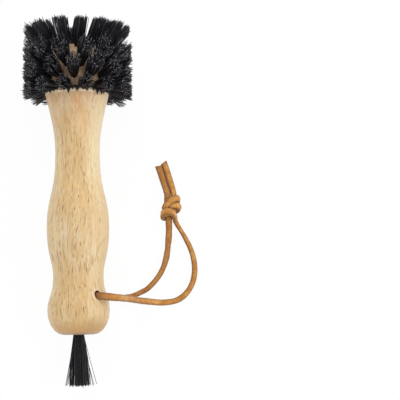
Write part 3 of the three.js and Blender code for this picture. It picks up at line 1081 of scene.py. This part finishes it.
def add_tuft(shape, mouth, heading, rng, splay, fill, sway):
    """A bundle drawn into its hole: packed at the wood, splayed, clumped and unevenly cut at the tips."""
    across = heading.orthogonal().normalized()
    above = heading.cross(across)

    def wander(size):
        return across * rng.gauss(0, size) + above * rng.gauss(0, size)

    sway = sway + wander(TUFT_SWAY)
    spots = clump_spots(CLUMPS_PER_TUFT, rng)
    for i in range(STRANDS_PER_TUFT):
        x, y = on_disc(i, STRANDS_PER_TUFT, rng.uniform(-STRAND_JITTER, STRAND_JITTER))
        root = mouth + (across * x + above * y) * STEM_RADIUS
        x, y = gathered(x, y, spots, rng.uniform(*CLUMPING))
        outward = across * x + above * y
        lean = heading + outward * splay * rng.uniform(*SPLAY_SPREAD)
        lean += wander(STRAND_LEAN)
        lean.normalize()
        length = trimmed_length(root, lean) + rng.gauss(*TRIM_SPREAD)
        bend = sway + wander(STRAND_SWAY)
        path = [root - heading * STEM_DEPTH, root]
        for share in BENDS:
            bulge = outward * fill * math.sin(math.pi * share**BULGE_POWER)
            path.append(root + lean * (length * share) + bend * share**2 + bulge)
        keep_above_table(path[2:])
        add_strand(shape, path, STRAND_RADII, rng.random() * PALEST_TONE)


def add_droop(shape, angle, rng):
    """Bristles of the first row that droop in small uneven points over the edge of the shoulder."""
    out = Vector((math.sin(angle), 0, math.cos(angle)))
    aside = Vector((math.cos(angle), 0, -math.sin(angle)))
    along = Vector((0, 1, 0))
    for step in DROOP_STEPS:
        place = step * DROOP_PITCH + rng.uniform(-DROOP_JITTER, DROOP_JITTER)
        depth = rng.uniform(*DROOP_DEPTHS)
        point = out * rng.uniform(*DROOP_TIPS) + aside * place + along * (SHOULDER - depth)
        width = rng.uniform(*DROOP_WIDTHS)
        for share in DROOP_FAN:
            spread = share * width
            beside = aside * (place + spread)
            start = out * DROOP_ROOT[0] + beside + along * DROOP_ROOT[1]
            crest = out * DROOP_CREST[0] + beside + along * DROOP_CREST[1]
            tip = point + aside * (spread * DROOP_TAPER) + along * (abs(spread) * DROOP_SLANT)
            add_strand(shape, [start, crest, tip], DROOP_RADII, rng.random() * DROOP_TONE)


def row_of_tufts(shape, number, rng):
    row = ROWS[number]
    lean = math.radians(row["lean"])
    radius = CORE_RADIUS
    height = HEAD_END - END_ROUNDING * (1 - math.sin(lean))
    if row["setback"] is None:
        radius -= END_ROUNDING * (1 - math.cos(lean))
    else:
        height = SHOULDER + row["setback"]
    pitch = 2 * math.pi / TUFTS_PER_ROW
    start = math.radians(row["turn"]) + (pitch / 2 if number % 2 == 0 else 0)
    for i in range(TUFTS_PER_ROW):
        angle = start + i * pitch
        out = Vector((math.sin(angle), 0, math.cos(angle)))
        mouth = out * radius + Vector((0, height, 0))
        heading = out * math.cos(lean) + Vector((0, math.sin(lean), 0))
        sideways, lengthwise, splay = PUSHED_TUFTS.get((number, i), (0, 0, row["splay"]))
        sway = Vector((math.cos(angle), 0, -math.sin(angle))) * sideways + Vector((0, lengthwise, 0))
        add_tuft(shape, mouth, heading, rng, splay, row["fill"], sway)
        if number == SHOULDER_ROW:
            add_droop(shape, angle, rng)


def head_tufts(name, rows, node, seed):
    rng = random.Random(seed)
    shape = ([], [], [])
    for number in rows:
        row_of_tufts(shape, number, rng)
    if END_ROW in rows:
        mouth = Vector((0, HEAD_END, 0))
        splay, fill = MIDDLE_TUFT_SPLAY, MIDDLE_TUFT_FILL
        add_tuft(shape, mouth, MIDDLE_TUFT_HEADING, rng, splay, fill, MIDDLE_TUFT_PUSH)
    bristle_piece(name, shape, node)


def butt_bristles(name, node, seed):
    rng = random.Random(seed)
    shape = ([], [], [])
    spots = clump_spots(BUTT_CLUMPS, rng)
    for i in range(BUTT_STRANDS + BUTT_STRAYS):
        x, y = on_disc(i % BUTT_STRANDS, BUTT_STRANDS)
        root = Vector((x, 0, y)) * BUTT_STEM_RADIUS
        bulge = Vector((x, 0, y)) * BUTT_SWELL
        x, y = gathered(x, y, spots, rng.uniform(*CLUMPING))
        tip = Vector((x, 0, y)) * (BUTT_FLARE * rng.uniform(*BUTT_FLARE_SPREAD))
        if i >= BUTT_STRANDS:
            aside = rng.uniform(*STRAYS_RIGHT) if i % 2 else -rng.uniform(*STRAYS_LEFT)
            root = Vector((math.copysign(STRAY_ROOT, aside), 0, rng.uniform(*STRAY_ROOT_HEIGHTS)))
            tip = Vector((aside, 0, rng.uniform(*STRAY_TIP_HEIGHTS)))
            bulge = Vector((math.copysign(rng.uniform(0.0, STRAY_BOW), -aside), 0, 0))
        tip += Vector((0, rng.gauss(0, BUTT_TRIM_SPREAD) - BUTT_TUFT_LENGTH, 0))
        middle = root.lerp(tip, 0.5) + bulge
        path = [root + Vector((0, BUTT_STEM_DEPTH, 0)), root, middle, tip.lerp(middle, CUT_SHARE), tip]
        keep_above_table(path[2:])
        tone = 1.0 if rng.random() < PALE_BUTT_SHARE else rng.random() * BUTT_TONE
        add_strand(shape, path, BUTT_STRAND_RADII, tone)
    bristle_piece(name, shape, node)


head_tufts("bristles_lower_rows", (0, 1), "lower_tufts", seed=21)
head_tufts("bristles_upper_row", (2,), "upper_tufts", seed=22)
head_tufts("bristles_end_row", (3,), "end_face_tufts", seed=23)
butt_bristles("bristles_butt", "butt_tuft", seed=31)


# Wood: the handle keeps its solid

SMOOTH_LIMIT = math.radians(38)
SAME_CORNER = 1e-6

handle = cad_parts["handle"]
handle.data.materials.clear()
handle.data.materials.append(BEECH)


def corner_spot(mesh, vertex):
    return tuple(round(c / SAME_CORNER) for c in mesh.vertices[vertex].co)


def soften_normals(mesh, limit):
    """Rounded shading over the shallow steps of the turned profile; the solid's points stay as they are."""
    meeting = {}
    for face in mesh.polygons:
        for vertex in face.vertices:
            meeting.setdefault(corner_spot(mesh, vertex), []).append(face)
    normals = [Vector()] * len(mesh.loops)
    for face in mesh.polygons:
        for loop, vertex in zip(face.loop_indices, face.vertices):
            around = meeting[corner_spot(mesh, vertex)]
            near = [other for other in around if other.normal.angle(face.normal, math.pi) < limit]
            normals[loop] = sum((other.normal * other.area for other in near), Vector()).normalized()
    mesh.normals_split_custom_set(normals)


handle.data.shade_smooth()
soften_normals(handle.data, SMOOTH_LIMIT)


# Floor, light and background

FLOOR_REACH = 2.0
FLOOR_HEIGHT = -0.0003
FLOOR_GREY = (0.9, 0.9, 0.9)
FLOOR_GLOW = 0.95
LAMP_AIM = (0.0, 0.0, 0.02)
BACKDROP_STRENGTH = 0.9


def white_floor():
    """A floor that glows white where it is looked at, and is matte to all other light."""
    material, tree, shader = new_material("white_floor")
    tree.nodes.remove(shader)
    output = tree.nodes["Material Output"]
    matte = tree.nodes.new("ShaderNodeBsdfDiffuse")
    feed(tree, matte.inputs["Color"], FLOOR_GREY)
    bright = tree.nodes.new("ShaderNodeEmission")
    rays = tree.nodes.new("ShaderNodeLightPath")
    seen = calc(tree, "MAXIMUM", rays.outputs["Is Camera Ray"], rays.outputs["Is Glossy Ray"])
    seen = calc(tree, "MAXIMUM", seen, rays.outputs["Is Transmission Ray"])
    blend = tree.nodes.new("ShaderNodeMixShader")
    tree.links.new(product(tree, seen, FLOOR_GLOW), blend.inputs["Fac"])
    tree.links.new(matte.outputs["BSDF"], blend.inputs[1])
    tree.links.new(bright.outputs["Emission"], blend.inputs[2])
    tree.links.new(blend.outputs["Shader"], output.inputs["Surface"])
    mesh = bpy.data.meshes.new("floor")
    signs = ((-1, -1), (1, -1), (1, 1), (-1, 1))
    corners = [(x * FLOOR_REACH, y * FLOOR_REACH, FLOOR_HEIGHT) for x, y in signs]
    mesh.from_pydata(corners, [], [(0, 1, 2, 3)])
    mesh.materials.append(material)
    floor = bpy.data.objects.new("floor", mesh)
    bpy.context.scene.collection.objects.link(floor)


def soft_lamp(name, place, size, power):
    data = bpy.data.lights.new(name, "AREA")
    data.shape = "DISK"
    data.size = size
    data.energy = power
    lamp = bpy.data.objects.new(name, data)
    lamp.location = place
    lamp.rotation_euler = (Vector(LAMP_AIM) - Vector(place)).to_track_quat("-Z", "Y").to_euler()
    bpy.context.scene.collection.objects.link(lamp)


white_floor()
soft_lamp("key", place=(-0.10, 0.75, 0.85), size=0.45, power=3.2)
soft_lamp("fill", place=(0.75, -0.1, 0.6), size=0.7, power=2.6)

world = bpy.data.worlds.new("studio")
bpy.context.scene.world = world
world.use_nodes = True
backdrop = world.node_tree.nodes["Background"]
backdrop.inputs["Color"].default_value = (1, 1, 1, 1)
backdrop.inputs["Strength"].default_value = BACKDROP_STRENGTH
bpy.context.scene.view_settings.view_transform = "Standard"
